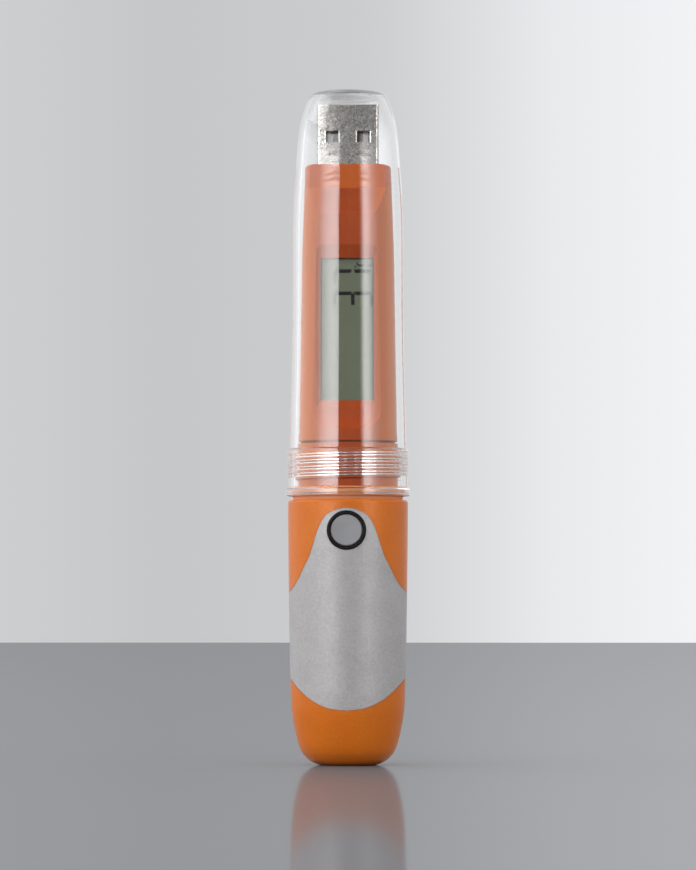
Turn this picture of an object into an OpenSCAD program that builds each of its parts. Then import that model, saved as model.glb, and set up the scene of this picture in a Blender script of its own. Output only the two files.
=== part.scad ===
// Pocket temperature logger. A round barrel holds the cell and the button, a tower
// on top of it carries the display and a USB plug, and a clear cap screws down
// over the tower onto a threaded neck. The origin is the centre of the barrel's
// foot, +Z is up and the display faces -Y.

/* [Barrel] */
// Height of the barrel from its foot to its shoulder
barrel_h = 51.9; // [44:0.1:62]
// Thickness of the barrel's floor
floor_t = 2; // [1.4:0.1:2.4]
// Wall of the barrel round the cell carrier
barrel_wall = 2.6; // [2.4:0.1:2.8]
// Wall of the barrel round its socket
socket_wall = 1.9; // [1.8:0.05:2.1]
// Depth of the socket that takes the tower's spigot
socket_depth = 10; // [9.8:0.1:11]
// Edge round of the barrel's shoulder
shoulder_round = 0.5; // [0.2:0.1:0.8]

/* [Neck and thread] */
// Height of the neck over the cap's skirt
neck_over = 0.95; // [0.6:0.05:1.6]
// Wall of the neck and spigot
neck_wall = 1.2; // [1:0.05:1.3]
// Rise of the screw thread in one turn
pitch = 1.25; // [1.1:0.05:1.3]
// Turns of each thread ridge
thread_turns = 4.5; // [3:0.25:4.5]
// Height of a thread ridge over its root
ridge_h = 0.55; // [0.45:0.05:0.6]
// Width of a ridge at its crest
crest_w = 0.34; // [0.24:0.01:0.35]
// Width of a ridge at its foot
ridge_w = 1.15; // [0.9:0.01:1.2]

/* [Tower] */
// Height of the tower over the neck
tower_h = 54.8; // [46:0.1:64]
// How far the tower steps in from the neck
neck_step = 0.2; // [0.15:0.05:0.3]
// Height of the groove between the neck and the tower
seam_h = 0.45; // [0.2:0.05:0.5]
// Height of the ring at the tower's foot
foot_ring_h = 1.7; // [0.8:0.1:2]
// Height over the neck where the tower's draft grows
bend_h = 38; // [34:0.1:42]
// Loss of radius below the bend
draft_low = 0.55; // [0.4:0.05:0.6]
// Loss of radius above the bend
draft_top = 0.6; // [0.4:0.05:0.8]
// Depth of the display facet in the round of the tower
facet_cut = 2.6; // [2.4:0.05:2.7]
// Height over the neck where the facet starts
facet_low = 2.5; // [2.2:0.1:2.6]
// Height of the facet's curved run-out
facet_runout = 4.4; // [4:0.1:4.4]
// Least wall of the crown round the corners of the plug
crown_wall = 2.04; // [1.9:0.02:2.2]
// Thickness of the crown in front of the plug and behind it
crown_side = 2.35; // [2.1:0.05:2.6]
// Height of the flat part of the crown
crown_h = 4.6; // [4:0.1:5]
// Height of the slope between the facet and the crown
slope_h = 5.2; // [4.6:0.1:5.6]

/* [Display] */
// How far the wall laps over each side of the display
side_lap = 0.95; // [0.85:0.05:1.2]
// Drop of the window's upper edge from the tower's top
window_drop = 18.6; // [18.4:0.1:22]
// Height of the window's lower edge over the neck
window_low = 8.3; // [8.3:0.1:8.8]
// Thickness of the wall in front of the display
front_wall = 0.95; // [0.8:0.05:1]
// Height of the slope over the window
brow_h = 2.6; // [2:0.1:3]
// Height of the slope under the window
sill_h = 1.3; // [1:0.1:1.3]
// Width of the slope at each side of the window
jamb_w = 0.75; // [0.5:0.05:0.8]
// Thickness of each display glass
glass_t = 0.7; // [0.5:0.05:0.9]
// How far the front glass laps behind the wall, above and below the window
glass_lap = 1.9; // [1.7:0.1:2]

/* [Cap] */
// Height of the seal that shows under the cap
rim_gap = 0.8; // [0.6:0.05:1.1]
// Height of the cap's flange
flange_h = 1.8; // [1.6:0.1:2.2]
// Height of the cap's skirt over the last ridge
thread_over = 0.375; // [0.3:0.0125:1]
// Distance from the tip of the plug to the cap's top
cap_room = 3; // [2.6:0.1:6]
// Wall of the cap over the skirt
cap_wall = 1.15; // [1:0.05:1.2]
// Wall of the skirt outside the thread
skirt_wall = 1.3; // [1.2:0.05:1.5]
// How far the flange stands out from the skirt
flange_out = 0.25; // [0.1:0.05:0.4]
// Thickness of the seal in the cap's mouth
seal_t = 0.75; // [0.6:0.05:0.8]
// Thickness of the seal's foot, which shows under the cap
seal_foot_t = 0.35; // [0.25:0.05:0.5]
// How far the cap steps in over the skirt
step_in = 0.38; // [0.3:0.02:0.5]
// Height of the first ridge over the flange
thread_start = 1.55; // [1.5:0.05:1.8]

/* [Button] */
// Drop of the button's centre from the barrel's shoulder
button_drop = 6.05; // [5.9:0.05:6.2]
// Outer radius of the black ring round the button
ring_r = 3.75; // [3.6:0.05:3.85]
// Inner radius of the black ring
ring_bore = 3.15; // [3:0.05:3.2]
// Travel of the button
button_travel = 0.45; // [0.3:0.05:0.5]
// How far the ring stands out of the barrel
ring_proud = 0.2; // [0.15:0.05:0.4]

/* [Label] */
// Thickness of the label
label_t = 0.15; // [0.1:0.05:0.25]
// Drop of the label's top from the barrel's shoulder
label_drop = 1.7; // [1.5:0.1:1.8]
// Drop of the label's upper edge from the shoulder, at the sides
label_side_drop = 18.1; // [15:0.1:22]
// Height of the label's lower edge at the sides
label_side_low = 17.8; // [15:0.1:22]
// Height of the label's lowest point at the front
label_low = 10.9; // [9:0.1:13]
// Gap between the label's ends at the back
label_seam = 1; // [0.6:0.1:3]

/* [USB plug] */
// Width of the plug's shell
plug_w = 12; // [11.9:0.05:12.1]
// Thickness of the plug's shell
plug_t = 4.5; // [4.4:0.05:4.6]
// Sheet thickness of the shell
plug_sheet = 0.3; // [0.25:0.01:0.35]
// How far the plug stands out of the tower
plug_out = 11.9; // [11:0.1:12.2]
// Length of the shell inside the crown
plug_in = 8.1; // [7.6:0.1:8.2]
// Distance from the tip to the near edge of the latch holes
latch_from_tip = 5.16; // [4.8:0.02:5.4]
// Width of a latch hole
latch_w = 2.5; // [2.2:0.1:2.8]
// Length of a latch hole
latch_h = 2.1; // [1.8:0.1:2.4]
// Spacing of the latch holes
latch_pitch = 6.1; // [5.8:0.1:6.6]

/* [Inside] */
// Distance from each side of the tower's bay to the tower's round
bay_side = 3.6; // [3.5:0.05:3.7]
// Distance from the back of the bay to the tower's round
bay_rear = 4.1; // [3.6:0.1:4.4]
// Thickness of the circuit board
board_t = 1; // [0.8:0.1:1.2]
// Wall of the carrier beside the cell
cell_wall = 1.65; // [1.4:0.05:2]
// Height over the cell for the foot of the board and its contacts
cell_head = 7.4; // [7:0.1:8]

/* [Hidden] */
$fn = 96;
// Overrun of every cut past the face that it opens
over = 0.5;
// Gap between pieces that are clamped or glued together
fit_gap = 0.05;
// Gap between pieces that turn or slide past each other
run_gap = 0.1;
// Radial gap between a thread's crest and the opposite root
crest_gap = 0.25;
// Small chamfer on moulded edges
edge = 0.2;
// smooth steps between two rows of an outline, and steps in a turn of the thread
spline_steps = 4;
ridge_steps = 44;
// steps over which a ridge fades out, and the share of its height that it starts at
fade_steps = 14;
fade_least = 0.08;

// heights of the main joints between the pieces
cap_foot_z = barrel_h + rim_gap;
flange_top_z = cap_foot_z + flange_h;
skirt_h = thread_start + pitch * thread_turns + thread_over;
skirt_top_z = flange_top_z + skirt_h;
neck_top_z = skirt_top_z + neck_over;
tower_top_z = neck_top_z + tower_h;
plug_tip_z = tower_top_z + plug_out;
plug_foot_z = tower_top_z - plug_in;
cap_h = plug_tip_z + cap_room - skirt_top_z;
socket_z = barrel_h - socket_depth;

// radii from the plug out to the barrel, and those of the thread and the cap's foot
tower_top_r = norm([plug_w / 2, plug_t / 2]) + crown_wall;
tower_r = tower_top_r + draft_low + draft_top;
neck_r = tower_r + neck_step;
socket_r = neck_r + run_gap;
barrel_r = socket_r + socket_wall;
bore_r = barrel_r - barrel_wall;
floor_rise = 4.6;
floor_step = 3;
neck_bore_r = neck_r - neck_wall;
male_crest_r = neck_r + ridge_h;
root_r = male_crest_r + crest_gap;
female_crest_r = root_r - ridge_h;
ridge_root = 0.25;
thread_z = flange_top_z + thread_start;
skirt_r = root_r + skirt_wall;
skirt_draft = 0.09;
flange_r = skirt_r + flange_out;
cap_r = skirt_r - step_in;
ledge_h = 0.35;

// outlines as shares of their own height and radius, from the foot up
barrel_shares = [[0, 0.45], [0.0049, 0.534], [0.0117, 0.602], [0.0233, 0.674],
    [0.0428, 0.751], [0.0603, 0.793], [0.0798, 0.825], [0.1187, 0.87], [0.1576, 0.904],
    [0.195, 0.93], [0.2335, 0.945], [0.311, 0.958], [0.451, 0.972], [0.603, 0.982],
    [0.743, 0.991], [0.895, 0.998], [0.973, 1], [1, 1]];
cap_shares = [[0, 1], [0.115, 0.985], [0.22, 0.97], [0.35, 0.957], [0.5, 0.954],
    [0.62, 0.95], [0.7, 0.93], [0.77, 0.9], [0.84, 0.87], [0.89, 0.838], [0.93, 0.79],
    [0.965, 0.72], [0.986, 0.65], [0.996, 0.55], [0.999, 0.3], [1, 0]];

// the label's edges: share of a quarter turn, then share of the edge's rise
arch_shares = [[0, 1], [0.06, 0.994], [0.127, 0.971], [0.209, 0.923], [0.255, 0.865],
    [0.3, 0.781], [0.336, 0.686], [0.367, 0.591], [0.399, 0.496], [0.44, 0.401],
    [0.517, 0.278], [0.583, 0.177], [0.684, 0.075], [0.833, 0.01], [1, 0]];
sweep_shares = [[0, 0], [0.19, 0.06], [0.378, 0.255], [0.556, 0.53], [0.756, 0.83], [1, 1]];
label_glue = 0.02;
label_top = barrel_h - label_drop;
label_side_top = barrel_h - label_side_drop;
label_reach = barrel_r + over;

// seal in the cap's mouth, held by a bead
seal_bore_r = male_crest_r + run_gap;
seal_foot_r = seal_bore_r + seal_foot_t;
seal_r = seal_bore_r + seal_t;
bead_out = 0.2;
bead_h = 0.5;
mouth_r = seal_r + run_gap;
bead_z = cap_foot_z + flange_h / 2;

// O-ring in the spigot, just under the barrel's shoulder
o_ring_cs = 0.35;
groove_h = 0.9;
groove_z = barrel_h - groove_h;
groove_r = socket_r - 2 * fit_gap - 2 * o_ring_cs;

// outline of the tower
foot_ring_r = neck_r - neck_step / 2;
seam_in = 0.45;
crown_round = 0.6;
crown_y = plug_t / 2 + crown_side;
slope_top_z = tower_top_z - crown_h;
facet_y = tower_r - facet_cut;
facet_low_z = neck_top_z + facet_low;
window_low_z = neck_top_z + window_low;
window_top_z = tower_top_z - window_drop;
window_h = window_top_z - window_low_z;

brow_round = 1.4;

// bay in the tower, and the plug's bay over it
bay_w = 2 * (tower_r - bay_side);
bay_back = tower_r - bay_rear;
bay_front_y = facet_y - front_wall;
bay_drop = 1;
bay_low_z = neck_top_z - bay_drop;
bay_roof = 3.3;
bay_top_z = slope_top_z - slope_h - bay_roof;
plug_bay_wall = 1.3;
plug_bay_y = crown_y - plug_bay_wall;

// display stack, front to back
window_w = bay_w - 2 * side_lap;
glass_w = bay_w - 2 * fit_gap;
glass_y = bay_front_y - fit_gap;
rear_glass_y = glass_y - glass_t - fit_gap;
rear_lap = 0.4;
reflector_t = 0.2;
reflector_y = rear_glass_y - glass_t - fit_gap;
frame_y = reflector_y - reflector_t - fit_gap;
frame_rim = 0.8;
zebra_h = glass_lap - rear_lap - 2 * run_gap;
zebra_w = window_w - 4 * run_gap;
zebra_low = [window_low_z - glass_lap + run_gap, window_top_z + rear_lap + run_gap];

// circuit board, its screws and what is on its back
board_side_gap = 0.4;
board_w = bay_w - 2 * board_side_gap;
board_top_z = plug_foot_z - board_side_gap;
board_lap = 2.4;
board_low_z = socket_z - board_lap;
screw_in = 1.9;
screw_x = board_w / 2 - screw_in;
screw_rise = 2.6;
screw_z = neck_top_z + screw_rise;
screw_r = 0.7;
screw_len = 4;
screw_head_r = 1.2;
screw_head_h = 0.8;
boss_r = 1.7;
lead_t = 0.2;
lead_w = 0.4;
lead_pitch = 2.2;
chip_t = 1.4;
mcu_w = 7;
mcu_leads = 10;
mcu_share = 0.6;
mcu_z = window_low_z + mcu_share * window_h;
memory_w = 5;
memory_h = 4;
memory_leads = 4;
memory_rise = 3;
memory_z = window_low_z + memory_rise;
crystal_r = 1;
crystal_h = 6;
crystal_drop = 8;
crystal_z = neck_top_z - crystal_drop;
cap_w = 1;
cap_in = 2.1;
cap_x = board_w / 2 - cap_in;
cap_low_z = window_top_z;
cap_step = 3;
bead_r = 1.1;
sensor_drop = 14;
sensor_z = neck_top_z - sensor_drop;

// button and switch, front to back
button_z = barrel_h - button_drop;
ring_face_y = barrel_r + ring_proud;
ring_back_y = neck_r + run_gap;
button_r = ring_bore - run_gap;
button_face_y = ring_face_y - run_gap;
lip_r = ring_r - run_gap;
lip_t = 0.5;
lip_y = sqrt(neck_bore_r * neck_bore_r - lip_r * lip_r) - 2 * run_gap;
stem_r = 1.5;
switch_w = 6;
switch_t = 3.5;
plunger_out = 1.1;
plunger_in = 0.8;
plunger_r = 1.6;
plunger_tip_y = switch_t + plunger_out;

// plug, with the rolled edge of its latch holes and the pits pressed in under them
plug_round = 0.5;
latch_top_z = plug_tip_z - latch_from_tip;
latch_low_z = latch_top_z - latch_h;
latch_edge = 0.22;
latch_edge_t = 0.11;
latch_mouth = latch_edge * (1 + over / latch_edge_t);
pit_w = 1.6;
pit_r = 0.5;
pit_depth = 0.2;
pit_drop = 2;
tongue_w = plug_w - 2 * plug_sheet - 2 * fit_gap;
tongue_y = plug_t / 2 - plug_sheet - fit_gap;
tongue_back = 0.5;
tongue_base_h = 4.2;
tongue_base_z = plug_foot_z + tongue_base_h;
contact_x = [-3.5, -1, 1, 3.5];
contact_in = 2;
contact_w = 1;
contact_sheet = 0.2;
contact_lap = 2.4;
contact_long = 1;
contact_short = 2;

// cell, carrier and contacts
carrier_r = bore_r - 2 * run_gap;
cell_r = carrier_r - cell_wall - run_gap;
cell_rise = 2.9;
cell_low_z = floor_t + floor_rise + cell_rise;
cell_top_z = socket_z - cell_head;
cell_h = cell_top_z - cell_low_z;
cell_edge = 0.4;
nub_h = 0.6;
nub_r = 2.6;
carrier_rise = 0.4;
carrier_low_z = floor_t + floor_rise + carrier_rise;
carrier_top_z = socket_z - board_side_gap;
spring_room = 1.2;
plate_room = 0.6;
contact_t = 0.25;
tab_w = 2.4;
leaf_y = 4;
leaf_z = cell_low_z - spring_room + fit_gap;
bridge_rise = 2.5;
bridge_z = cell_top_z + bridge_rise;
tail_lap = 3;
spring_tail_y = cell_r + run_gap + contact_t + fit_gap;
plate_w = 5;
plate_tail_y = contact_t + run_gap;

// a smooth curve through the rows of a table, n steps from each row to the next
function spline(p, n) = [for (i = [0:len(p) - 2]) for (k = [0:n - 1])
    let (t = k / n, a = p[max(i - 1, 0)], b = p[i], c = p[i + 1], d = p[min(i + 2, len(p) - 1)])
    (2 * b + (c - a) * t + (2 * a - 5 * b + 4 * c - d) * t * t
    + (3 * b - a - 3 * c + d) * t * t * t) / 2, p[len(p) - 1]];

// a path moved to the left of its own direction, kept on its side of the axis
function inset(path, t) = [for (i = [0:len(path) - 1])
    let (d = path[min(i + 1, len(path) - 1)] - path[max(i - 1, 0)], n = [-d[1], d[0]] / norm(d))
    [i == len(path) - 1 ? 0 : path[i][0] + n[0] * t, path[i][1] + n[1] * t]];
function widen(path, t) = [for (p = path) [p[0] + t, p[1]]];
function reversed(path) = [for (i = [len(path) - 1:-1:0]) path[i]];
function mirrored(path) = concat(path,
    [for (i = [len(path) - 2:-1:1]) [-path[i][0], path[i][1]]]);

barrel_path = [for (p = spline(barrel_shares, spline_steps))
    [p[1] * barrel_r, p[0] * (barrel_h - shoulder_round)]];
cap_path = [for (p = spline(cap_shares, spline_steps))
    [p[1] * cap_r, skirt_top_z + p[0] * cap_h]];

// puts a piece that is drawn along Z on the front, Z turned to -Y
module on_front(z) { translate([0, 0, z]) rotate([90, 0, 0]) children(); }
// extrudes a side outline, drawn as [y, z], across the object
module across(w) { rotate([90, 0, 90]) linear_extrude(height = w, center = true) children(); }
// a block given by its width and by its limits along Y and Z
module block(w, y0, y1, z0, z1) { translate([-w / 2, y0, z0]) cube([w, y1 - y0, z1 - z0]); }

module rounded(w, t, r) {
    square([w - 2 * r, t], center = true);
    square([w, t - 2 * r], center = true);
    for (x = [-1, 1], y = [-1, 1]) translate([x * (w / 2 - r), y * (t / 2 - r)]) circle(r = r);
}

// one turn after another of a tapered ridge that fades out at both ends
module ridge(root, crest, start_z) {
    side = sign(crest - root);
    n = round(thread_turns * ridge_steps);
    points = [for (i = [0:n])
        let (a = 360 * i / ridge_steps, z = start_z + pitch * i / ridge_steps,
            f = min(1, fade_least + min(i, n - i) / fade_steps),
            deep = root - side * ridge_root, top = root + (crest - root) * f)
        for (p = [[deep, -ridge_w], [top, -crest_w], [top, crest_w], [deep, ridge_w]])
            [p[0] * cos(a), p[0] * sin(a), z + p[1] / 2]];
    sides = [for (i = [0:n - 1], k = [0:3], h = [0, 1])
        let (a = 4 * i, b = a + 4, m = (k + 1) % 4)
        h == 0 ? [a + k, a + m, b + m] : [a + k, b + m, b + k]];
    faces = concat(sides, [[3, 2, 1, 0], [4 * n, 4 * n + 1, 4 * n + 2, 4 * n + 3]]);
    polyhedron(points, side > 0 ? faces : [for (f = faces) reversed(f)]);
}

// an edge of the label seen from the front, from z0 to z1, moved out by the given distance
function label_edge(shares, z0, z1, grow) = [for (p = spline(shares, spline_steps))
    [barrel_r * sin(90 * p[0]) + (p[0] > 0 ? abs(grow) : 0), z0 + p[1] * (z1 - z0) + grow]];

// the outline of the label round the barrel, out to the given distance past its edges
module label_patch(grow) difference() {
    union() {
        rotate([90, 0, 0]) linear_extrude(height = label_reach) polygon(mirrored(concat(
            label_edge(arch_shares, label_side_top, label_top, grow),
            [[label_reach, label_side_top + grow], [label_reach, label_side_low - grow]],
            reversed(label_edge(sweep_shares, label_low, label_side_low, -grow)))));
        block(2 * label_reach, -over, label_reach, label_side_low - grow,
            label_side_top + grow);
    }
    block(label_seam - 2 * grow, 0, label_reach + over, 0, barrel_h);
}

// a shell that follows the outside of the barrel, between two depths under it
module barrel_shell(deep, high) rotate_extrude() polygon(concat(widen(barrel_path, -deep),
    reversed(widen(barrel_path, -high))));

// the label lies flush in a shallow recess of the barrel
module barrel() color("#d3873f") difference() {
    rotate_extrude() polygon(concat([[0, 0]], barrel_path,
        [for (a = [15:15:90]) [barrel_r - shoulder_round * (1 - cos(a)),
            barrel_h - shoulder_round * (1 - sin(a))]],
        [[socket_r, barrel_h], [socket_r, socket_z], [bore_r, socket_z],
            [bore_r, floor_t + floor_rise], [bore_r - floor_step, floor_t], [0, floor_t]]));
    intersection() {
        barrel_shell(label_t + label_glue, -over);
        label_patch(fit_gap);
    }
    on_front(button_z) cylinder(r = ring_r + run_gap, h = barrel_r + over);
}

module label() color("silver") difference() {
    intersection() {
        barrel_shell(label_t, 0);
        label_patch(0);
    }
    on_front(button_z) cylinder(r = ring_r + run_gap, h = label_reach);
}

module button_ring() color("#202022") on_front(button_z) rotate_extrude() polygon([
    [ring_bore, ring_back_y], [ring_r, ring_back_y], [ring_r, ring_face_y - edge],
    [ring_r - edge, ring_face_y], [ring_bore + edge, ring_face_y],
    [ring_bore, ring_face_y - edge]]);

module button() color("#8f9096") on_front(button_z) rotate_extrude() polygon([
    [0, plunger_tip_y + fit_gap], [stem_r, plunger_tip_y + fit_gap], [stem_r, lip_y - lip_t],
    [lip_r, lip_y - lip_t], [lip_r, lip_y], [button_r, lip_y],
    [button_r, button_face_y - edge], [button_r - edge, button_face_y], [0, button_face_y]]);

module switch_plunger() color("#303034") on_front(button_z)
    translate([0, 0, switch_t - plunger_in]) cylinder(r = plunger_r, h = plunger_in + plunger_out);

module tact_switch() color("#707278") on_front(button_z) difference() {
    union() {
        translate([-switch_w / 2, -switch_w / 2, fit_gap])
            cube([switch_w, switch_w, switch_t - fit_gap]);
        for (x = [-1, 1], z = [-1, 1]) translate([x * (switch_w / 2 + lead_t), z * lead_pitch,
            fit_gap + lead_w / 2]) cube([2 * lead_t + over, lead_w, lead_w], center = true);
    }
    translate([0, 0, switch_t - plunger_in - button_travel - run_gap])
        cylinder(r = plunger_r + run_gap, h = switch_t);
}

module tower_outline() polygon([[0, socket_z + fit_gap], [neck_r - edge, socket_z + fit_gap],
    [neck_r, socket_z + fit_gap + edge], [neck_r, neck_top_z - edge / 2],
    [neck_r - edge / 2, neck_top_z], [foot_ring_r - seam_in, neck_top_z],
    [foot_ring_r - seam_in, neck_top_z + seam_h], [foot_ring_r, neck_top_z + seam_h],
    [foot_ring_r, neck_top_z + foot_ring_h],
    [tower_r, neck_top_z + foot_ring_h], [tower_r - draft_low, neck_top_z + bend_h],
    for (a = [0:15:90]) [tower_top_r - crown_round * (1 - cos(a)),
        tower_top_z - crown_round * (1 - sin(a))], [0, tower_top_z]]);

// what the facet, its run-out, the slope and the front of the crown take away
module front_cut() across(2 * neck_r + over) polygon(concat(
    [for (a = [0:9:90]) [-facet_y - (neck_r + over - facet_y) * (1 - cos(a)),
        facet_low_z + facet_runout * (1 - sin(a))]],
    [[-neck_r - over, tower_top_z + over], [-crown_y, tower_top_z + over],
        [-crown_y, slope_top_z], [-facet_y, slope_top_z - slope_h]]));

module back_cut() across(2 * neck_r + over) polygon([[crown_y, tower_top_z + over],
    [crown_y, slope_top_z], [neck_r + over, slope_top_z
        - slope_h * (neck_r + over - crown_y) / (facet_y - crown_y)],
    [neck_r + over, tower_top_z + over]]);

// the window, with a slope on all four sides and round corners at the top
module window_cut() {
    half = window_w / 2 + jamb_w;
    top = window_top_z + brow_h;
    intersection() {
        across(2 * neck_r) polygon([[over - bay_front_y, window_low_z],
            [-bay_front_y, window_low_z], [-facet_y, window_low_z - sill_h],
            [-neck_r, window_low_z - sill_h], [-neck_r, top], [-facet_y, top],
            [-bay_front_y, window_top_z], [over - bay_front_y, window_top_z]]);
        linear_extrude(height = tower_top_z) for (x = [-1, 1]) scale([x, 1])
            polygon([[-over, over - bay_front_y], [window_w / 2, over - bay_front_y],
                [window_w / 2, -bay_front_y], [half, -facet_y], [half, -neck_r],
                [-over, -neck_r]]);
        on_front(0) linear_extrude(height = neck_r) polygon(mirrored(concat([[0, top]],
            [for (a = [90:-15:0]) [half - brow_round * (1 - cos(a)),
                top - brow_round * (1 - sin(a))]],
            [[half, window_low_z - sill_h], [0, window_low_z - sill_h]])));
    }
}

module tower() color("#c26a2c") {
    difference() {
        union() {
            rotate_extrude() tower_outline();
            ridge(neck_r, male_crest_r, thread_z - pitch / 2);
        }
        front_cut();
        back_cut();
        window_cut();
        translate([0, 0, socket_z - over])
            cylinder(r = neck_bore_r, h = bay_low_z + over - socket_z + over);
        block(bay_w, -bay_front_y, bay_back, bay_low_z, bay_top_z);
        block(bay_w, -plug_bay_y, plug_bay_y, bay_top_z - over, plug_foot_z);
        translate([0, 0, plug_foot_z - over]) linear_extrude(height = plug_in + 2 * over)
            rounded(plug_w + 2 * fit_gap, plug_t + 2 * fit_gap, plug_round + fit_gap);
        translate([0, 0, groove_z]) rotate_extrude()
            translate([groove_r, -groove_h / 2]) square([neck_r, groove_h]);
        on_front(button_z) cylinder(r = ring_bore, h = neck_r + over);
    }
    for (x = [-1, 1]) translate([x * screw_x, 0, screw_z]) rotate([-90, 0, 0])
        difference() {
            translate([0, 0, board_t + fit_gap])
                cylinder(r = boss_r, h = bay_back + over - board_t - fit_gap);
            cylinder(r = screw_r + fit_gap, h = bay_back);
        }
}

module spigot_o_ring() color("#2a2a2c") translate([0, 0, groove_z]) rotate_extrude()
    translate([socket_r - fit_gap - o_ring_cs, 0]) circle(r = o_ring_cs, $fn = 24);

module lcd_front_glass() color("#9aa093") block(glass_w, -glass_y, glass_t - glass_y,
    window_low_z - glass_lap, window_top_z + glass_lap);

module lcd_rear_glass() color("#8d9384") block(glass_w, -rear_glass_y, glass_t - rear_glass_y,
    window_low_z - rear_lap, window_top_z + rear_lap);

module lcd_reflector() color("#b9bdb0") block(glass_w, -reflector_y,
    reflector_t - reflector_y, window_low_z - rear_lap, window_top_z + rear_lap);

// frame behind the glasses, with a slot for each contact strip
module lcd_frame() color("#e4e4e0") difference() {
    block(glass_w, -frame_y, -fit_gap, window_low_z - glass_lap - frame_rim,
        window_top_z + glass_lap + frame_rim);
    block(glass_w - 2 * frame_rim, -frame_y - over, over, window_low_z + frame_rim,
        window_top_z - frame_rim);
    for (z = zebra_low) block(zebra_w + 2 * fit_gap, -frame_y - over, over,
        z - fit_gap, z + zebra_h + fit_gap);
}

module zebra_strips() color("#d8d8d4") for (z = zebra_low)
    block(zebra_w, -rear_glass_y, -fit_gap, z, z + zebra_h);

module circuit_board() color("#1d6b3c") difference() {
    block(board_w, 0, board_t, board_low_z, board_top_z);
    for (x = [-1, 1]) translate([x * screw_x, -over, screw_z]) rotate([-90, 0, 0])
        cylinder(r = screw_r + run_gap, h = board_t + 2 * over);
}

module board_screws() color("#c9cacc") for (x = [-1, 1])
    translate([x * screw_x, 0, screw_z]) rotate([-90, 0, 0]) {
        cylinder(r = screw_r, h = screw_len);
        difference() {
            translate([0, 0, -screw_head_h - fit_gap]) cylinder(r = screw_head_r, h = screw_head_h);
            translate([0, 0, -screw_head_h - fit_gap - over])
                cylinder(r = screw_head_r / 2, h = screw_head_h / 2 + over, $fn = 6);
        }
        translate([0, 0, -fit_gap]) cylinder(r = screw_r, h = fit_gap);
    }

// a moulded chip with a row of leads down each side, on the back of the board
module chip(w, h, t, z, leads) {
    block(w, board_t + lead_t, board_t + lead_t + t, z - h / 2, z + h / 2);
    for (i = [0:leads - 1]) translate([0, board_t + fit_gap,
        z + (i - (leads - 1) / 2) * h / leads - lead_w / 2])
        translate([-w / 2 - lead_w, 0, 0]) cube([w + 2 * lead_w, lead_t, lead_w]);
}

module microcontroller() color("#28282a") chip(mcu_w, mcu_w, chip_t, mcu_z, mcu_leads);

module memory_chip() color("#28282a") chip(memory_w, memory_h, chip_t, memory_z,
    memory_leads);

module clock_crystal() color("#c8c8c8") translate([0, board_t + fit_gap + crystal_r, crystal_z])
    cylinder(r = crystal_r, h = crystal_h);

module capacitors() color("#b99f78") for (x = [-1, 1], z = [0, 1])
    translate([x * cap_x, 0, 0]) block(cap_w, board_t + fit_gap, board_t + fit_gap + cap_w,
        cap_low_z + z * cap_step, cap_low_z + z * cap_step + 2 * cap_w);

module temperature_sensor() color("#3a2f2a") translate([0, board_t + fit_gap + bead_r, sensor_z]) {
    cylinder(r = bead_r, h = 2 * bead_r);
    translate([0, 0, 2 * bead_r]) sphere(r = bead_r);
}

// outline of a latch hole through both broad faces, wider at each mouth
function latch_side(low, top) = let (out = plug_t / 2 + over, in = plug_t / 2 - latch_edge_t)
    [[-out, low - latch_mouth], [-in, low], [in, low], [out, low - latch_mouth],
    [out, top + latch_mouth], [in, top], [-in, top], [-out, top + latch_mouth]];

module usb_shell() color("#c9cbce") difference() {
    translate([0, 0, plug_foot_z]) linear_extrude(height = plug_tip_z - plug_foot_z)
        difference() {
            rounded(plug_w, plug_t, plug_round);
            rounded(plug_w - 2 * plug_sheet, plug_t - 2 * plug_sheet, plug_round - plug_sheet);
        }
    for (x = [-1, 1]) translate([x * latch_pitch / 2, 0, 0]) {
        intersection() {
            across(latch_w + 2 * latch_mouth) polygon(latch_side(latch_low_z, latch_top_z));
            translate([0, 0, latch_low_z - latch_mouth])
                linear_extrude(height = latch_h + 2 * latch_mouth)
                    rotate(90) polygon(latch_side(-latch_w / 2, latch_w / 2));
        }
        for (y = [-1, 1])
            translate([0, y * (plug_t / 2 + pit_r - pit_depth), latch_low_z - pit_drop])
                rotate([0, 90, 0]) cylinder(r = pit_r, h = pit_w, center = true);
    }
}

// insulating tongue on the back half of the plug, with a base that fills the shell
module usb_tongue() color("#303034") difference() {
    union() {
        block(tongue_w, 0, tongue_y, plug_foot_z + fit_gap, plug_tip_z - tongue_back);
        block(tongue_w, -tongue_y, tongue_y, plug_foot_z + fit_gap, tongue_base_z);
    }
    for (x = contact_x) translate([x, 0, 0]) block(contact_w + 2 * fit_gap,
        -contact_sheet - 2 * fit_gap, 0, plug_foot_z - over, tongue_base_z + over);
}

module usb_contacts() color("#d8b24a") for (x = contact_x) translate([x, 0, 0])
    block(contact_w, -contact_sheet - fit_gap, -fit_gap, board_top_z - contact_lap,
        plug_tip_z - tongue_back - (abs(x) > contact_in ? contact_long : contact_short));

module battery_cell() color("#5a7f52") rotate_extrude() polygon([[0, cell_low_z],
    [cell_r - cell_edge, cell_low_z], [cell_r, cell_low_z + cell_edge],
    [cell_r, cell_top_z - nub_h - cell_edge], [cell_r - cell_edge, cell_top_z - nub_h],
    [nub_r, cell_top_z - nub_h], [nub_r, cell_top_z], [0, cell_top_z]]);

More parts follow.
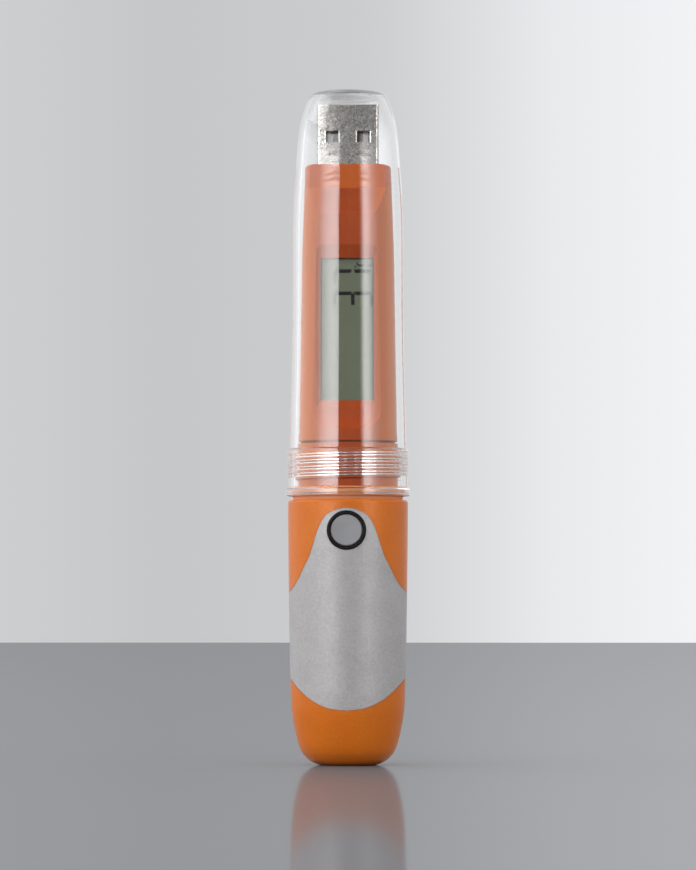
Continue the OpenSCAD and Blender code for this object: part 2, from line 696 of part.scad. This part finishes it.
// cradle that holds the cell, its contacts and the foot of the board
module battery_carrier() color("#3a3a3c") difference() {
    translate([0, 0, carrier_low_z]) cylinder(r = carrier_r, h = carrier_top_z - carrier_low_z);
    translate([0, 0, cell_low_z - spring_room])
        cylinder(r = cell_r + run_gap, h = cell_h + spring_room + plate_room);
    block(2 * (cell_r + run_gap), -carrier_r - over, 0, cell_low_z - spring_room,
        cell_top_z + plate_room);
    block(board_w + 2 * fit_gap, -fit_gap, board_t + fit_gap, board_low_z - fit_gap,
        carrier_top_z + over);
    block(tab_w + 2 * run_gap, -plate_tail_y - run_gap, 0, cell_top_z, carrier_top_z + over);
    block(tab_w + 2 * run_gap, 0, spring_tail_y + run_gap, cell_low_z - spring_room,
        carrier_top_z + over);
}

// negative contact: a bowed leaf under the cell and a tail up its back to the board
module battery_spring() color("#cfcfca") across(tab_w) union() {
    polygon([[-leaf_y, leaf_z], [leaf_y, leaf_z], [leaf_y, leaf_z + contact_t],
        [0, cell_low_z - fit_gap], [-leaf_y, leaf_z + contact_t]]);
    translate([0, leaf_z]) square([spring_tail_y, contact_t]);
    translate([spring_tail_y - contact_t, leaf_z]) square([contact_t, bridge_z - leaf_z]);
    translate([board_t + fit_gap, bridge_z - contact_t])
        square([spring_tail_y - board_t - fit_gap, contact_t]);
    translate([board_t + fit_gap, bridge_z - contact_t])
        square([contact_t, board_low_z + tail_lap - bridge_z]);
}

// positive contact: a plate over the cell with a tail on the front of the board
module battery_plate() color("#cfcfca") {
    translate([-plate_w / 2, -plate_w / 2, cell_top_z + fit_gap])
        cube([plate_w, plate_w, contact_t]);
    block(tab_w, -plate_tail_y, contact_t - plate_tail_y, cell_top_z + fit_gap,
        board_low_z + tail_lap);
}

// soft ring held in the cap's mouth by its bead, with a foot that meets the shoulder
module cap_seal() color("#e0742a") rotate_extrude() polygon([
    [seal_bore_r, barrel_h + fit_gap], [seal_foot_r, barrel_h + fit_gap],
    [seal_foot_r, cap_foot_z], [seal_r, cap_foot_z], [seal_r, bead_z - bead_h],
    [seal_r + bead_out, bead_z - bead_h / 2],
    [seal_r + bead_out, bead_z + bead_h / 2], [seal_r, bead_z + bead_h],
    [seal_r, flange_top_z - run_gap - edge], [seal_r - edge, flange_top_z - run_gap],
    [seal_bore_r, flange_top_z - run_gap]]);

module cap() color([0.82, 0.87, 0.9, 0.45]) {
    rotate_extrude() polygon(concat([[mouth_r, cap_foot_z], [flange_r - edge, cap_foot_z],
            [flange_r, cap_foot_z + edge], [flange_r, flange_top_z - edge],
            [skirt_r, flange_top_z], [skirt_r - skirt_draft, skirt_top_z - edge],
            [skirt_r - skirt_draft - edge, skirt_top_z]],
        cap_path, reversed(inset(cap_path, cap_wall)),
        [[root_r, skirt_top_z - ledge_h], [root_r, flange_top_z], [mouth_r, flange_top_z],
            [mouth_r, bead_z + bead_h + run_gap],
            [mouth_r + bead_out, bead_z + bead_h / 2 + run_gap],
            [mouth_r + bead_out, bead_z - bead_h / 2 - run_gap],
            [mouth_r, bead_z - bead_h - run_gap]]));
    ridge(root_r, female_crest_r, thread_z);
}

barrel();
label();
button_ring();
button();
switch_plunger();
tact_switch();
tower();
spigot_o_ring();
lcd_front_glass();
lcd_rear_glass();
lcd_reflector();
lcd_frame();
zebra_strips();
circuit_board();
board_screws();
microcontroller();
memory_chip();
clock_crystal();
capacitors();
temperature_sensor();
usb_shell();
usb_tongue();
usb_contacts();
battery_cell();
battery_carrier();
battery_spring();
battery_plate();
cap_seal();
cap();
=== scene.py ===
import math
import bmesh
import bpy
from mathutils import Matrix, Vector


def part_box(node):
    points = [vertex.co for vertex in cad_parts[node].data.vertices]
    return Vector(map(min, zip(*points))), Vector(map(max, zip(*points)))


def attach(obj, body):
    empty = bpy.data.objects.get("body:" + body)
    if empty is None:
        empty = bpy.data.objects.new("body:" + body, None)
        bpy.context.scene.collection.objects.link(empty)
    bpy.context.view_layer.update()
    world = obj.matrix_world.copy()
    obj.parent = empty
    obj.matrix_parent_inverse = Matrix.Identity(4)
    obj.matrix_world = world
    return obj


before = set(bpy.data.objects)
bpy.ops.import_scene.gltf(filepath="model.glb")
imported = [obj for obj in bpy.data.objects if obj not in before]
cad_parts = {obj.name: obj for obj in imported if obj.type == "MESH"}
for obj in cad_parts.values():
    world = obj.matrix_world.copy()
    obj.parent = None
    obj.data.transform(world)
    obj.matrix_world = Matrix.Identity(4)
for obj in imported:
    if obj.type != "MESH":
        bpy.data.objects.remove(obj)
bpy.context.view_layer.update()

MM = 0.001

# Heights and sizes on the housing and the cap, for materials that change along them
SEAM_FOOT = 62.9 * MM
SEAM_TOP = 63.4 * MM
BEND_FOOT = 108.2 * MM
CROWN_FOOT = 113.05 * MM
THREAD_FOOT = 56.5 * MM
THREAD_TOP = 61.8 * MM
THREAD_RADIUS = 10.9 * MM
FLANGE_TOP = 54.4 * MM
PLUG_HALF_WIDTH = 6 * MM

# The parts of a noise's range that its shades are spread over
MIDDLE = (0.3, 0.7)
CORE = (0.35, 0.65)
FINE_GRAIN = 0.25 * MM


# Shader nodes. In these functions mat is a material, a lamp's data or the world.
def put(mat, socket, value):
    """Feeds a socket with a link, a colour or a number."""
    if hasattr(value, "node"):
        mat.node_tree.links.new(value, socket)
    elif socket.type == "RGBA":
        socket.default_value = (*value, 1)
    else:
        socket.default_value = value


def feed(mat, made, **values):
    """Sets a node's options and sockets; an underscore stands for a space."""
    for key, value in values.items():
        if hasattr(made, key):
            setattr(made, key, value)
        else:
            put(mat, made.inputs[key.replace("_", " ")], value)


def node(mat, kind, **values):
    made = mat.node_tree.nodes.new(kind)
    feed(mat, made, **values)
    return made


def maths(mat, operation, *values):
    """The result of a Math node for numbers or other nodes' values."""
    made = node(mat, "ShaderNodeMath", operation=operation)
    for socket, value in zip(made.inputs, values):
        put(mat, socket, value)
    return made.outputs["Value"]


def coordinates(mat, stretch=(1, 1, 1)):
    """Object coordinates in metres, squeezed or stretched along an axis."""
    place = node(mat, "ShaderNodeTexCoord")
    return node(mat, "ShaderNodeMapping", Vector=place.outputs["Object"],
                Scale=stretch).outputs["Vector"]


def along(mat, axis):
    """The object coordinate along one axis, in metres."""
    return node(mat, "ShaderNodeSeparateXYZ", Vector=coordinates(mat)).outputs[axis]


def noise(mat, size, detail=2.0, stretch=(1, 1, 1), rough=0.5):
    """Noise whose features are about size metres across."""
    return node(mat, "ShaderNodeTexNoise", Scale=1 / size, Detail=detail, Roughness=rough,
                Vector=coordinates(mat, stretch)).outputs["Fac"]


def ramp(mat, value, low, high, a=0.0, b=1.0):
    """A value mapped from low..high to a..b, and held at the ends."""
    return node(mat, "ShaderNodeMapRange", Value=value, From_Min=low, From_Max=high,
                To_Min=a, To_Max=b).outputs["Result"]


def height_at(mat, low, high, a=0.0, b=1.0):
    """A value that goes from a to b between two heights on the object."""
    return ramp(mat, along(mat, "Z"), low, high, a, b)


def between(mat, low, high, edge):
    """1 between two heights and 0 elsewhere, with soft edges of that width."""
    return maths(mat, "MULTIPLY", height_at(mat, low, low + edge),
                 height_at(mat, high, high + edge, 1, 0))


def mix_colour(mat, factor, one, two):
    """Colour one where factor is 0 and two where it is 1."""
    made = node(mat, "ShaderNodeMix", data_type="RGBA", Factor=factor)
    colours = [s for s in made.inputs if s.type == "RGBA"]
    put(mat, colours[0], one)
    put(mat, colours[1], two)
    return [s for s in made.outputs if s.type == "RGBA"][0]


def bump(mat, height, strength, distance, **options):
    """A normal for a shader; Normal in the options is another bump below it."""
    return node(mat, "ShaderNodeBump", Height=height, Strength=strength, Distance=distance,
                **options).outputs["Normal"]


def join_shaders(mat, factor, one, two):
    """Makes a mix of two shaders the surface of a material."""
    both = node(mat, "ShaderNodeMixShader", Fac=factor)
    put(mat, both.inputs[1], one.outputs["BSDF"])
    put(mat, both.inputs[2], two.outputs["BSDF"])
    surface = mat.node_tree.nodes["Material Output"].inputs["Surface"]
    put(mat, surface, both.outputs["Shader"])


# Materials
def new_material(name, colour, rough, **sockets):
    """A Principled material; sockets are set on the shader itself."""
    mat = bpy.data.materials.new(name)
    mat.use_nodes = True
    shader = mat.node_tree.nodes["Principled BSDF"]
    feed(mat, shader, Base_Color=colour, Roughness=rough, **sockets)
    return mat, shader


def mould(mat, shader, colour, rough, grain=FINE_GRAIN):
    """The finish of a moulding: its colour, uneven gloss and a fine grain."""
    fine = noise(mat, grain, 2)
    feed(mat, shader, Base_Color=colour,
         Roughness=ramp(mat, fine, *MIDDLE, rough - 0.05, rough + 0.07),
         Normal=bump(mat, fine, 0.12, 0.02 * MM))


def drifting(mat, dark, light):
    """A colour that drifts slowly between two."""
    return mix_colour(mat, ramp(mat, noise(mat, 9 * MM, 3), *CORE), dark, light)


def moulded(name, dark, light, rough, grain=FINE_GRAIN, **sockets):
    """Moulded plastic, rubber or print."""
    mat, shader = new_material(name, light, rough, **sockets)
    mould(mat, shader, drifting(mat, dark, light), rough, grain)
    return mat


def tower_material():
    """Plain orange with painted light at the sides and the back, standing for light through the
    wall, painted shade on the bend in front, paler on the crown, and a painted shadow in the
    seam above the foot ring."""
    mat, shader = new_material("tower_orange", (0.26, 0.043, 0.002), 0.38,
                               Specular_IOR_Level=0.1)
    edge = 0.1 * MM
    aside = maths(mat, "ABSOLUTE", along(mat, "X"))
    behind = ramp(mat, along(mat, "Y"), 0, 3 * MM)
    # Painted light: the sides and the back are lighter, standing for light that comes through
    # the wall.
    painted_side_light = maths(mat, "MAXIMUM", ramp(mat, aside, 3.5 * MM, 8 * MM), behind)
    # Painted shade on the bend in front, fading out towards the sides and the back.
    bend_shade_share = maths(mat, "MULTIPLY", ramp(mat, aside, 3.8 * MM, 5.8 * MM, 0.25, 0),
                   maths(mat, "SUBTRACT", 1, behind))
    bend_shade = maths(mat, "MULTIPLY", between(mat, BEND_FOOT, CROWN_FOOT, edge), bend_shade_share)
    crown = height_at(mat, CROWN_FOOT, CROWN_FOOT + edge)
    # Painted shadow along the seam above the foot ring.
    seam_shade = between(mat, SEAM_FOOT, SEAM_TOP, edge)
    body = drifting(mat, (0.31, 0.042, 0.001), (0.345, 0.049, 0.0015))
    # Colours mixed over the body: painted light at the sides, painted shade on the bend, the
    # paler crown, painted shadow in the seam.
    for share, colour in ((painted_side_light, (0.5, 0.122, 0.01)), (bend_shade, (0.1, 0.012, 0.001)),
                          (crown, (0.46, 0.085, 0.005)), (seam_shade, (0.19, 0.028, 0.001))):
        body = mix_colour(mat, share, body, colour)
    mould(mat, shader, body, 0.38)
    return mat


def barrel_material():
    """Satin orange with a fine golden speckle."""
    mat, shader = new_material("pearl_orange", (0.52, 0.104, 0.004), 0.3,
                               Specular_IOR_Level=0.22)
    flake = ramp(mat, noise(mat, 0.16 * MM, 1.5), 0.5, 0.68)
    body = mix_colour(mat, ramp(mat, noise(mat, 7 * MM, 3), *MIDDLE), (0.5, 0.104, 0.003),
                      (0.55, 0.117, 0.004))
    feed(mat, shader,
         Base_Color=mix_colour(mat, ramp(mat, flake, 0, 1, 0, 0.5), body, (0.8, 0.34, 0.07)),
         Metallic=ramp(mat, flake, 0, 1, 0, 0.25),
         Roughness=ramp(mat, flake, 0, 1, 0.3, 0.26),
         Normal=bump(mat, noise(mat, 0.24 * MM, 2), 0.2, 0.02 * MM))
    return mat


def label_material():
    """Silver grey overlay with a fine cloudy mottle."""
    mat, shader = new_material("silver_label", (0.33, 0.325, 0.325), 0.42, Metallic=0.12,
                               Coat_Weight=0.2, Coat_Roughness=0.3)
    mottle = noise(mat, 0.5 * MM, 4, rough=0.7)
    cloud = ramp(mat, noise(mat, 4 * MM, 2), *CORE, 0, 0.2)
    base = mix_colour(mat, ramp(mat, mottle, *MIDDLE), (0.29, 0.277, 0.275),
                      (0.388, 0.373, 0.371))
    feed(mat, shader, Base_Color=mix_colour(mat, cloud, base, (0.465, 0.448, 0.443)),
         Roughness=ramp(mat, mottle, *MIDDLE, 0.48, 0.38),
         Normal=bump(mat, mottle, 0.12, 0.03 * MM))
    return mat


def metal(name, colour, rough):
    """Plated sheet with a fine tumbled grain."""
    mat, shader = new_material(name, colour, rough, Metallic=1.0)
    fine = noise(mat, 0.12 * MM, 3, rough=0.65)
    slow = noise(mat, 2.5 * MM, 2)
    pits = tuple(0.72 * c for c in colour)
    feed(mat, shader, Base_Color=mix_colour(mat, ramp(mat, fine, *MIDDLE), pits, colour),
         Roughness=ramp(mat, slow, *MIDDLE, rough - 0.06, rough + 0.08),
         Normal=bump(mat, fine, 0.5, 0.01 * MM))
    return mat


def plug_material():
    """The plug's plated sheet: matt, faintly bowed, with a sparkling grain."""
    mat, shader = new_material("tumbled_nickel", (0.5, 0.485, 0.465), 0.26, Metallic=1.0)
    grain = ramp(mat, noise(mat, 0.26 * MM, 2, rough=0.6), 0.4, 0.62)
    share = maths(mat, "DIVIDE", along(mat, "X"), PLUG_HALF_WIDTH)
    bow = bump(mat, maths(mat, "MULTIPLY", share, share), 1.0, 0.3 * MM, invert=True)
    feed(mat, shader,
         Base_Color=mix_colour(mat, grain, (0.29, 0.275, 0.255), (0.67, 0.65, 0.62)),
         Roughness=ramp(mat, noise(mat, 2.5 * MM, 2), *MIDDLE, 0.24, 0.3),
         Normal=bump(mat, noise(mat, 0.3 * MM, 2), 0.4, 0.03 * MM, Normal=bow))
    return mat


# After more bounces than this a ray goes straight through clear plastic
MOST_BOUNCES = 4.5


def clear(name, tint, rough, ior, smudge, extra=None):
    """Clear plastic or glass that lets lamps through, with a trace of handling marks.
    extra makes a value that is added to the roughness."""
    mat, shader = new_material(name, tint, rough, IOR=ior, Transmission_Weight=1.0)
    marks = noise(mat, 3 * MM, 4, (1, 1, 0.4), 0.7)
    dull = ramp(mat, marks, 0.45, 0.75, rough, rough + smudge)
    if extra:
        dull = maths(mat, "ADD", dull, extra(mat))
    feed(mat, shader, Roughness=dull)
    path = node(mat, "ShaderNodeLightPath").outputs
    late = maths(mat, "GREATER_THAN", path["Ray Depth"], MOST_BOUNCES)
    soft = maths(mat, "MAXIMUM", path["Is Shadow Ray"], path["Is Diffuse Ray"])
    through = node(mat, "ShaderNodeBsdfTransparent", Color=tint)
    join_shaders(mat, maths(mat, "MAXIMUM", soft, late), shader, through)
    return mat


FROST = 0.18


def thread_frost(mat):
    """Frost on the cap's thread, and half of it on its flange."""
    flat = node(mat, "ShaderNodeVectorMath", operation="LENGTH")
    put(mat, flat.inputs[0], coordinates(mat, (1, 1, 0)))
    edge = 0.2 * MM
    thread = maths(mat, "MULTIPLY", between(mat, THREAD_FOOT, THREAD_TOP, edge),
                   ramp(mat, flat.outputs["Value"], THREAD_RADIUS, THREAD_RADIUS + edge, 1, 0))
    flange = height_at(mat, FLANGE_TOP, FLANGE_TOP + edge, 0.5, 0)
    return maths(mat, "MULTIPLY", maths(mat, "MAXIMUM", thread, flange), FROST)


def board_material():
    """Green solder mask over copper tracks."""
    mat, shader = new_material("solder_mask", (0.02, 0.14, 0.05), 0.35, Coat_Weight=0.4)
    tracks = node(mat, "ShaderNodeTexBrick", offset=0.5, Scale=420, Mortar_Size=0.03,
                  Color1=(0.02, 0.13, 0.05), Color2=(0.025, 0.16, 0.06),
                  Mortar=(0.06, 0.24, 0.1), Vector=coordinates(mat))
    feed(mat, shader, Base_Color=tracks.outputs["Color"],
         Normal=bump(mat, tracks.outputs["Fac"], 0.3, 0.03 * MM))
    return mat


def dress(mat, *names):
    """Gives CAD nodes their material."""
    for name in names:
        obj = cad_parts[name]
        if not obj.material_slots:
            obj.data.materials.append(mat)
        for slot in obj.material_slots:
            slot.material = mat


dress(barrel_material(), "barrel")
dress(label_material(), "label")
dress(tower_material(), "tower")
dress(plug_material(), "usb_shell")
dress(board_material(), "circuit_board")
dress(clear("clear_cap", (0.985, 0.985, 0.985), rough=0.015, ior=1.57, smudge=0.03,
            extra=thread_frost), "cap")
dress(clear("display_glass", (0.9, 0.94, 0.88), rough=0.04, ior=1.5, smudge=0.02),
      "lcd_front_glass")
dress(moulded("black_rubber", (0.006, 0.004, 0.0035), (0.01, 0.007, 0.006), 0.5,
              Specular_IOR_Level=0.25), "button_ring", "spigot_o_ring")
dress(moulded("black_plastic", (0.02, 0.02, 0.021), (0.035, 0.035, 0.037), 0.45),
      "switch_plunger", "microcontroller", "memory_chip", "temperature_sensor",
      "battery_carrier", "usb_tongue")
dress(moulded("white_plastic", (0.66, 0.66, 0.64), (0.74, 0.74, 0.72), 0.4), "lcd_frame")
dress(metal("nickel", (0.58, 0.57, 0.55), 0.3), "tact_switch", "board_screws",
      "clock_crystal", "battery_spring", "battery_plate", "usb_contacts")
dress(moulded("grey_button", (0.24, 0.238, 0.245), (0.3, 0.298, 0.305), 0.35,
              grain=0.3 * MM, Metallic=0.1), "button")
dress(moulded("display_polariser", (0.168, 0.172, 0.128), (0.186, 0.19, 0.142), 0.35,
              grain=0.35 * MM, Specular_IOR_Level=0.3), "lcd_rear_glass")
dress(moulded("display_reflector", (0.3, 0.32, 0.26), (0.36, 0.38, 0.31), 0.35),
      "lcd_reflector")
dress(moulded("striped_rubber", (0.3, 0.3, 0.28), (0.5, 0.5, 0.47), 0.6), "zebra_strips")
dress(moulded("ceramic", (0.4, 0.28, 0.16), (0.5, 0.37, 0.22), 0.5), "capacitors")
dress(moulded("cell_sleeve", (0.08, 0.2, 0.09), (0.11, 0.26, 0.12), 0.3), "battery_cell")
dress(moulded("orange_silicone", (0.5, 0.15, 0.035), (0.6, 0.19, 0.05), 0.5), "cap_seal")

# Marks between the two display glasses: printed segments, and dark strips of painted shadow at
# the window's top and sides. Outlines and their sizes are in millimetres, as points of x and z.
# Dark colours for the printed segments, also used for strips of painted shadow.
INK_AND_SHADOW = moulded("display_ink_and_shadow", (0.002, 0.0025, 0.0025), (0.004, 0.0045, 0.0045), 0.5,
              Specular_IOR_Level=0)
FAINT_INK_AND_SHADOW = moulded("display_faint_ink_and_shadow", (0.03, 0.033, 0.029), (0.038, 0.041, 0.035), 0.5,
                Specular_IOR_Level=0)
GAP_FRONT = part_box("lcd_front_glass")[1][1]
GAP_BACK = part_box("lcd_rear_glass")[0][1]
MARK_FRONT = GAP_FRONT + 0.2 * (GAP_BACK - GAP_FRONT)
MARK_BACK = GAP_FRONT + 0.8 * (GAP_BACK - GAP_FRONT)
LEFT_EDGE = -5.5
RIGHT_EDGE = 5.2
LOW_EDGE = 71.2
HIGH_EDGE = 99.4
TOP_SHADOW = 0.42
TOP_SHADOW_FOOT = HIGH_EDGE - TOP_SHADOW
LEFT_SHADOW = 0.7
RIGHT_SHADOW = 0.4
DIGIT_LINE = 0.72
SLANT = 0.35
RING_LINE = 0.16


def slab(name, outlines, mat):
    """Flat marks, printed or painted shadow, that face -Y and stay with the housing."""
    mesh = bpy.data.meshes.new(name)
    build = bmesh.new()
    for outline in outlines:
        near = [build.verts.new((x * MM, MARK_FRONT, z * MM)) for x, z in outline]
        far = [build.verts.new((x * MM, MARK_BACK, z * MM)) for x, z in outline]
        build.faces.new(near)
        build.faces.new(far[::-1])
        for i in range(len(outline)):
            j = (i + 1) % len(outline)
            build.faces.new((near[j], near[i], far[i], far[j]))
    bmesh.ops.recalc_face_normals(build, faces=build.faces)
    build.to_mesh(mesh)
    build.free()
    obj = bpy.data.objects.new(name, mesh)
    obj.data.materials.append(mat)
    bpy.context.scene.collection.objects.link(obj)
    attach(obj, "housing")


def bar(x0, x1, z0, z1):
    """A rectangle between two x and two z."""
    return [(x0, z1), (x1, z1), (x1, z0), (x0, z0)]


def upright(z):
    """The two segments along one side of a digit that lies on its side, from z down."""
    low = z - DIGIT_LINE
    return [[(-2.55, z), (0.92, z), (0.62, low), (-2.1, low)],
            [(1.2, z), (4.66, z), (4.25, low), (1.5, low)]]


def crossbar(x, lean, z, long=2.15, half=0.34):
    """One segment across a digit, from z down; lean shifts its ends towards -X."""
    left = x - half * (1 + lean)
    right = x + half * (1 - lean)
    low = z - long
    return [(left, z), (right, z), (x + half, z - 0.4), (x + half, low + SLANT),
            (right, low), (left, low), (x - half, low + SLANT), (x - half, z - 0.4)]


def oval(x, z, wide, high, steps):
    """The points of an oval."""
    turns = [2 * math.pi * k / steps for k in range(steps)]
    return [(x + wide / 2 * math.cos(a), z + high / 2 * math.sin(a)) for a in turns]


def ring(x, z, wide, high, line, steps=48):
    """A narrow oval ring as quads."""
    outer = oval(x, z, wide, high, steps)
    inner = oval(x, z, wide - 2 * line, high - 2 * line, steps)
    return [[outer[k - 1], outer[k], inner[k], inner[k - 1]] for k in range(steps)]


def spot(x, z, radius):
    """The points of a round dot."""
    return oval(x, z, 2 * radius, 2 * radius, 16)


slab("display_digits", upright(97.04) + upright(92.68)
     + [crossbar(1.06, 0, 92.3, 2.3), crossbar(4.7, -0.2, 92.12, 2.4), spot(4.75, 93.14, 0.24)],
     INK_AND_SHADOW)
slab("display_feet", [crossbar(-2.45, 0.2, 96.54), crossbar(-2.45, 0.2, 92.2)], FAINT_INK_AND_SHADOW)
slab("display_unit", [spot(1.55, 97.55, 0.17),
                      [(1.72, 98.4), (1.96, 98.4), (2.1, 97.75), (1.86, 97.75)],
                      bar(2.15, 3.14, 97.66, 97.98), bar(3.62, 4.62, 97.64, 97.92),
                      bar(4.73, 4.98, 97.6, 98.42)], INK_AND_SHADOW)
# Painted shadow: a dark strip along the window's top, where its edge shades the display.
slab("display_top_shadow", [bar(LEFT_EDGE, RIGHT_EDGE, TOP_SHADOW_FOOT, HIGH_EDGE)], INK_AND_SHADOW)
# Painted shadow: faint dark strips down the window's sides, where its jambs shade the display.
slab("display_side_shadows", [bar(LEFT_EDGE, LEFT_EDGE + LEFT_SHADOW, LOW_EDGE, TOP_SHADOW_FOOT),
                        bar(RIGHT_EDGE - RIGHT_SHADOW, RIGHT_EDGE, LOW_EDGE, TOP_SHADOW_FOOT)],
     FAINT_INK_AND_SHADOW)
slab("display_ring", ring(-4.02, 73.0, 1.42, 2.5, RING_LINE)
     + [bar(-4.3, -3.78, z, z + RING_LINE) for z in (72.2, 72.66, 73.12, 73.58)], FAINT_INK_AND_SHADOW)


# Camera and floor
def look(obj, target):
    """Turns a camera or a lamp to face a point."""
    obj.rotation_euler = (Vector(target) - obj.location).to_track_quat("-Z", "Y").to_euler()


CAMERA_DISTANCE = 0.81
CAMERA_TURN = math.radians(1.5)
CAMERA_HEIGHT = 0.031
CAMERA_AIM = 0.0648
camera = bpy.data.objects.new("camera", bpy.data.cameras.new("camera"))
bpy.context.scene.collection.objects.link(camera)
bpy.context.scene.camera = camera
camera.location = (CAMERA_DISTANCE * math.sin(CAMERA_TURN),
                   -CAMERA_DISTANCE * math.cos(CAMERA_TURN), CAMERA_HEIGHT)
look(camera, (0, 0, CAMERA_AIM))
camera.data.sensor_fit = "VERTICAL"
camera.data.sensor_height = 36
camera.data.sensor_width = 28.8
camera.data.lens = 170.3
camera.data.clip_start = 0.01
camera.data.clip_end = 30

FLOOR_REACH = 4
FLOOR_BACK = 2.75
FLOOR_GLOSS = 0.38


def floor_material():
    """Pale grey with a soft mirror image."""
    mat, shader = new_material("floor_grey", (0.14, 0.143, 0.151), 0.6, Specular_IOR_Level=0)
    join_shaders(mat, FLOOR_GLOSS, shader, node(mat, "ShaderNodeBsdfGlossy", Roughness=0.08))
    return mat


def make_floor():
    """A flat floor that counts as stage and not as a part of the object."""
    mesh = bpy.data.meshes.new("floor")
    mesh.from_pydata([(-FLOOR_REACH, -FLOOR_REACH, 0), (FLOOR_REACH, -FLOOR_REACH, 0),
                      (FLOOR_REACH, FLOOR_BACK, 0), (-FLOOR_REACH, FLOOR_BACK, 0)], [],
                     [(0, 1, 2, 3)])
    obj = bpy.data.objects.new("floor", mesh)
    obj.data.materials.append(floor_material())
    bpy.context.scene.collection.objects.link(obj)
    return obj


# Lamps leave out what this collection holds, so the floor doesn't mirror them
no_lamps = bpy.data.collections.new("no_lamps")
no_lamps.objects.link(make_floor())
no_lamps.collection_objects[0].light_linking.link_state = "EXCLUDE"

# Stops of place and shade. BACKDROP goes from -X to +X. LEVEL goes from -Y to +Y and dims
# the backdrop for gloss and glass. Places go from 0 to 1.
BACKDROP = ((0.2, 0.78), (0.4, 0.74), (0.465, 0.58), (0.49, 0.62), (0.512, 0.84),
            (0.535, 0.94), (0.6, 0.8), (0.8, 0.76))
LEVEL = ((0.3, 0.01), (0.5, 0.4), (0.85, 1))
LEAST_THROUGH_GLASS = 0.3
# The plain light from -X and from +X, and its share from straight above
PLAIN_LEFT = 3.3
PLAIN_RIGHT = 1.5
PLAIN_ABOVE = 0.5

world = bpy.data.worlds.new("studio")
bpy.context.scene.world = world
world.use_nodes = True


def shades(value, stops):
    """A grey that follows a value through stops of place and shade."""
    made = node(world, "ShaderNodeValToRGB", Fac=value)
    steps = made.color_ramp.elements
    steps[0].position = stops[0][0]
    steps[1].position = stops[-1][0]
    for stop in stops[1:-1]:
        steps.new(stop[0])
    for step, (place, shade) in zip(steps, stops):
        step.position = place
        step.color = (shade, shade, shade, 1)
    return made.outputs["Color"]


def mixed(factor, one, two):
    """A value between two others in the world's nodes."""
    return node(world, "ShaderNodeMix", data_type="FLOAT", Factor=factor, A=one,
                B=two).outputs["Result"]


def studio():
    """A pale backdrop for the camera, gloss and glass, a dim camera side, and a plain
    level of light."""
    around = node(world, "ShaderNodeTexCoord").outputs["Generated"]
    way = node(world, "ShaderNodeSeparateXYZ", Vector=around).outputs
    path = node(world, "ShaderNodeLightPath").outputs
    pale = shades(ramp(world, way["X"], -1, 1), BACKDROP)
    least = maths(world, "MULTIPLY", path["Is Transmission Ray"], LEAST_THROUGH_GLASS)
    level = maths(world, "MAXIMUM", shades(ramp(world, way["Y"], -1, 1), LEVEL), least)
    plain = maths(world, "MULTIPLY", ramp(world, way["X"], -1, 1, PLAIN_LEFT, PLAIN_RIGHT),
                  ramp(world, way["Z"], 0, 1, 1, PLAIN_ABOVE))
    seen = mixed(path["Is Camera Ray"], maths(world, "MULTIPLY", level, pale), pale)
    sharp = maths(world, "MAXIMUM", path["Is Camera Ray"], path["Is Glossy Ray"])
    sharp = maths(world, "MAXIMUM", sharp, path["Is Transmission Ray"])
    feed(world, world.node_tree.nodes["Background"], Color=(0.97, 0.98, 1.0),
         Strength=mixed(sharp, plain, seen))


studio()

# Tall lamps side by side round the object, seen as bands of light on the cap. A table
# holds azimuths in degrees from -Y, and the radiance from each to the next.
LAMP_DISTANCE = 0.75
LEFT = [(18, 4.1), (23, 4.6), (28, 4.8), (33, 4.7), (38, 4.3), (43, 3.9), (48, 3.3), (53, 2.7),
        (58, 1.9), (65, 1.3), (73, 1.1), (82, 1.0), (92, 0.8), (105, 0.75), (120, 0.4), (135, 0)]
RIGHT = [(27, 0.7), (30, 1.8), (33, 3.8), (36, 4.5), (41, 4.3), (46, 3.3), (51, 2.3), (56, 1.6),
         (62, 1.1), (70, 0.7), (82, 0.5), (100, 0.3), (120, 0)]
# Name, foot and top in metres, and share of the radiance
TIERS = (("low", -0.05, 0.3, 1), ("high", 0.3, 0.36, 0.5))
# How many surfaces of clear plastic a view may pass before the lamps go dark, and how many
# more with each reflection
SURFACES = 2.5
SURFACES_PER_REFLECTION = 10


def gloss_only(lamp):
    """Keeps a lamp for reflections: it lights no matt surface and isn't seen straight
    through the cap."""
    lamp.visible_diffuse = False
    data = lamp.data
    data.use_nodes = True
    path = node(data, "ShaderNodeLightPath").outputs
    allowed = maths(data, "MULTIPLY_ADD", path["Glossy Depth"], SURFACES_PER_REFLECTION,
                    SURFACES)
    feed(data, data.node_tree.nodes["Emission"],
         Strength=maths(data, "GREATER_THAN", allowed, path["Transmission Depth"]))


def softbox(name, start, end, foot, top, radiance):
    """A tall lamp between two azimuths, which are positive towards +X, and two heights."""
    width = 2 * LAMP_DISTANCE * math.tan(math.radians(abs(end - start) / 2))
    height = top - foot
    z = (top + foot) / 2
    data = bpy.data.lights.new(name, "AREA")
    data.shape = "RECTANGLE"
    data.size = width
    data.size_y = height
    data.energy = radiance * math.pi * width * height
    lamp = bpy.data.objects.new(name, data)
    bpy.context.scene.collection.objects.link(lamp)
    a = math.radians((start + end) / 2)
    lamp.location = (LAMP_DISTANCE * math.sin(a), -LAMP_DISTANCE * math.cos(a), z)
    look(lamp, (0, 0, z))
    lamp.light_linking.receiver_collection = no_lamps
    gloss_only(lamp)


for side, sign, table in (("left", -1, LEFT), ("right", 1, RIGHT)):
    for k in range(len(table) - 1):
        start, radiance = table[k]
        end = table[k + 1][0]
        for tier, foot, top, share in TIERS:
            softbox("%s_%s_%d" % (side, tier, k), sign * start, sign * end, foot, top,
                    share * radiance)
softbox("upper_left", start=-60, end=-115, foot=0.4, top=1.1, radiance=1.2)

bpy.context.scene.view_settings.view_transform = "Standard"
